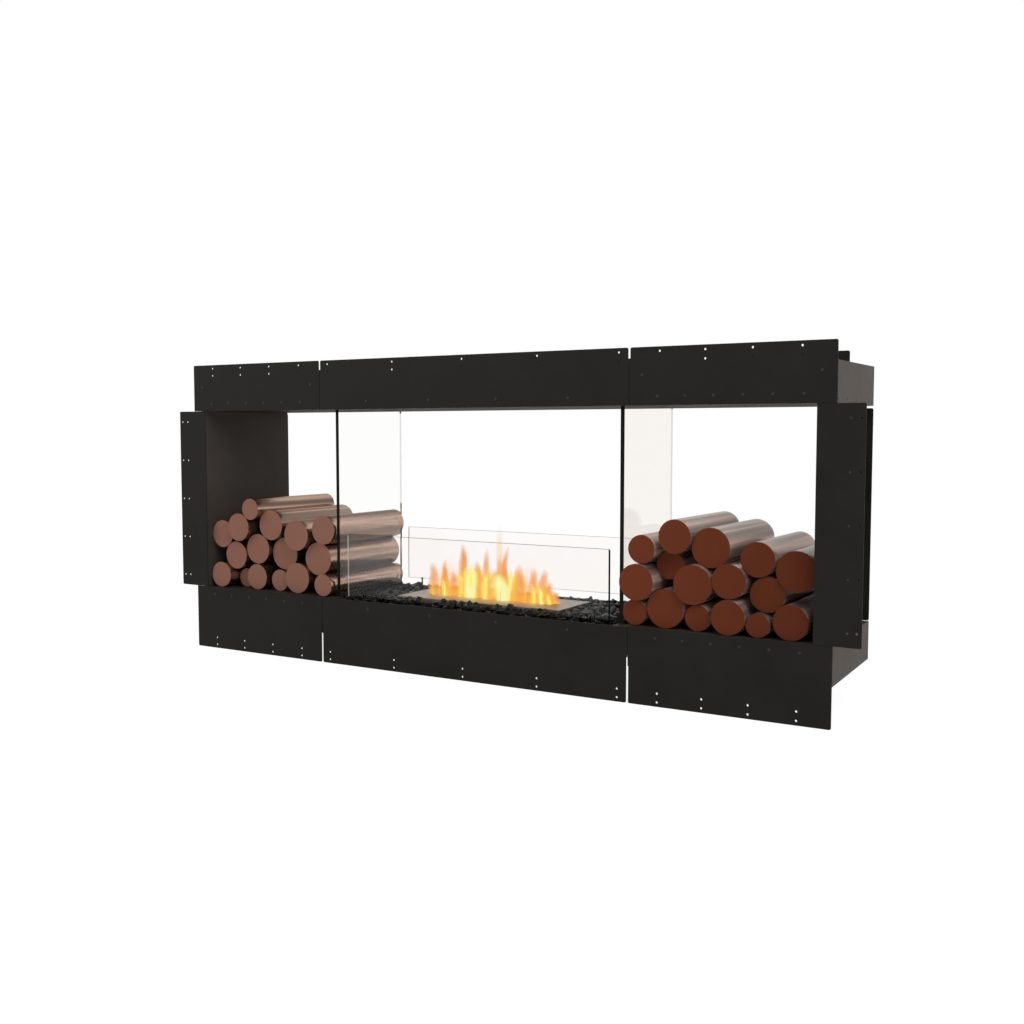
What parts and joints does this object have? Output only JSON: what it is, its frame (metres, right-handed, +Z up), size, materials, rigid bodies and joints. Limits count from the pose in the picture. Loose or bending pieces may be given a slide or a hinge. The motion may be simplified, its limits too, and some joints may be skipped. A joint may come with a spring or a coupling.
{
  "type": "bioethanol fireplace insert",
  "caption": "Built-in see-through bioethanol fireplace: a glazed fire chamber with a slot burner between log bays, in a black steel box framed by fixing flanges.",
  "frame": {"origin": "on the ground plane of the flange plates' lower edges, midway between the ends and midway between the front and rear faces", "axes": "+X to the right as seen from the front, +Y to the rear, +Z up"},
  "size_m": [1.948, 0.347, 0.805],
  "materials": {
    "coated_steel": "black powder coat, satin",
    "steel_parts": "black coat, satin",
    "fasteners": "blackened steel",
    "clear_glass": "clear toughened glass, polished edges",
    "black_stone": "glossy black chips",
    "burner_steel": "brushed stainless steel",
    "wick_ceramic": "rigid ceramic wool",
    "heat_board": "pressed mineral board",
    "log_left": "polished brown sides, matt pinkish ends",
    "log_right": "polished brown sides, matt reddish ends"
  },
  "bodies": {
    "frame": {"base_end_cap_left": "coated_steel", "base_end_cap_right": "coated_steel", "base_left": "coated_steel", "base_middle": "coated_steel", "base_right": "coated_steel", "end_cap_rivets": "fasteners", "end_wall_left": "coated_steel", "end_wall_right": "coated_steel", "front_bottom_flange_left": "coated_steel", "front_bottom_flange_middle": "coated_steel", "front_bottom_flange_right": "coated_steel", "front_flange_screws": "fasteners", "front_side_flange_left": "coated_steel", "front_side_flange_right": "coated_steel", "front_top_flange_left": "coated_steel", "front_top_flange_middle": "coated_steel", "front_top_flange_right": "coated_steel", "glass_pane_left": "clear_glass", "glass_pane_right": "clear_glass", "header_end_cap_left": "coated_steel", "header_end_cap_right": "coated_steel", "header_heat_board": "heat_board", "header_left": "coated_steel", "header_middle": "coated_steel", "header_right": "coated_steel", "log_stack_left": "log_left", "log_stack_right": "log_right", "module_bolts": "steel_parts", "pane_channels": "coated_steel", "rear_bottom_flange_left": "coated_steel", "rear_bottom_flange_middle": "coated_steel", "rear_bottom_flange_right": "coated_steel", "rear_flange_screws": "fasteners", "rear_side_flange_left": "coated_steel", "rear_side_flange_right": "coated_steel", "rear_top_flange_left": "coated_steel", "rear_top_flange_middle": "coated_steel", "rear_top_flange_right": "coated_steel", "screen_feet": "steel_parts", "shelf_ledges": "steel_parts", "stone_bed": "black_stone", "stone_shelf": "steel_parts"},
    "front_screen": {"front_fire_screen": "clear_glass"},
    "rear_screen": {"rear_fire_screen": "clear_glass"},
    "burner": {"burner_top_plate": "burner_steel", "fuel_tank": "burner_steel", "wick_block": "wick_ceramic", "shutter_rails": "burner_steel"},
    "shutter": {"burner_shutter": "burner_steel"}
  },
  "joints": [
    {"name": "front_screen_lift", "type": "slide", "parent": "frame", "child": "front_screen", "axis": [0, 0, 1], "range_m": [0, 0.1]},
    {"name": "rear_screen_lift", "type": "slide", "parent": "frame", "child": "rear_screen", "axis": [0, 0, 1], "range_m": [0, 0.1]},
    {"name": "burner_lift", "type": "slide", "parent": "frame", "child": "burner", "axis": [0, 0, 1], "range_m": [0, 0.15]},
    {"name": "shutter_slide", "type": "slide", "parent": "burner", "child": "shutter", "axis": [0, -1, 0], "range_m": [0, 0.037]}
  ]
}
